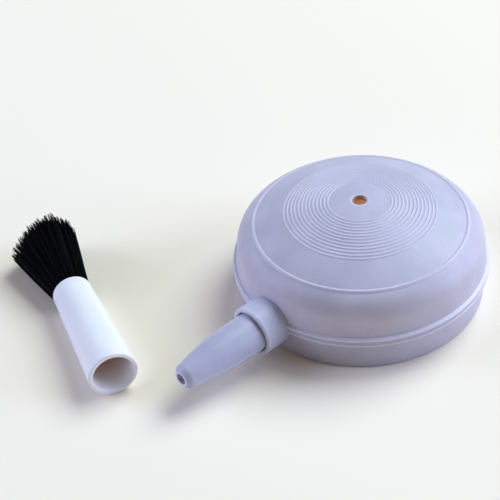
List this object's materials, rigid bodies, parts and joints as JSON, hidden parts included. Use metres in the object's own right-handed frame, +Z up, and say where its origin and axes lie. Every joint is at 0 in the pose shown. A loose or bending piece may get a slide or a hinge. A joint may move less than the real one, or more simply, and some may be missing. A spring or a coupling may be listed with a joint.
{
  "type": "dust blower bulb",
  "caption": "Round soft-plastic dust blower with ringed domed top, thumb hole, side nozzle in a socket collar, and a loose push-on bristle brush.",
  "frame": {"origin": "centre of the flat underside of the bulb, on the surface it stands on", "axes": "+Z up through the thumb hole, the nozzle points along -X, the loose brush lies on the +Y side of the nozzle's tip"},
  "size_m": [0.1094, 0.1054, 0.0277],
  "materials": {
    "bulb_plastic": "soft matt lilac-grey moulded plastic",
    "nozzle_plastic": "soft matt lilac-grey moulded plastic",
    "tube_plastic": "smooth white moulded plastic",
    "glue": "set amber glue",
    "thread": "waxed thread",
    "bristle": "black bristle"
  },
  "bodies": {
    "housing": {"base_shell": "bulb_plastic", "upper_shell": "bulb_plastic", "ringed_membrane": "bulb_plastic"},
    "thumb": {"thumb_pad": "bulb_plastic"},
    "nozzle": {"nozzle": "nozzle_plastic"},
    "brush": {"brush_tube": "tube_plastic", "glue_plug": "glue", "binding_thread": "thread"},
    "bristles": {"bristle_bundle": "bristle"}
  },
  "joints": [
    {"name": "dome_press", "type": "slide", "parent": "housing", "child": "thumb", "axis": [0, 0, -1], "range_m": [0, 0.01], "stiffness_N_per_m": 800, "deforming": ["ringed_membrane"]},
    {"name": "nozzle_pull", "type": "slide", "parent": "housing", "child": "nozzle", "axis": [-1, 0, 0], "range_m": [0, 0.01]},
    {"name": "brush_lift", "type": "slide", "parent": "housing", "child": "brush", "axis": [0, 0, 1], "range_m": [0, 0.05]},
    {"name": "bristle_bend", "type": "hinge", "parent": "brush", "child": "bristles", "pos_m": [-0.05885, 0.04751, 0.00516], "axis": [0, 0, 1], "range_deg": [-25, 25], "stiffness_Nm_per_rad": 0.02, "deforming": ["bristle_bundle"]}
  ]
}
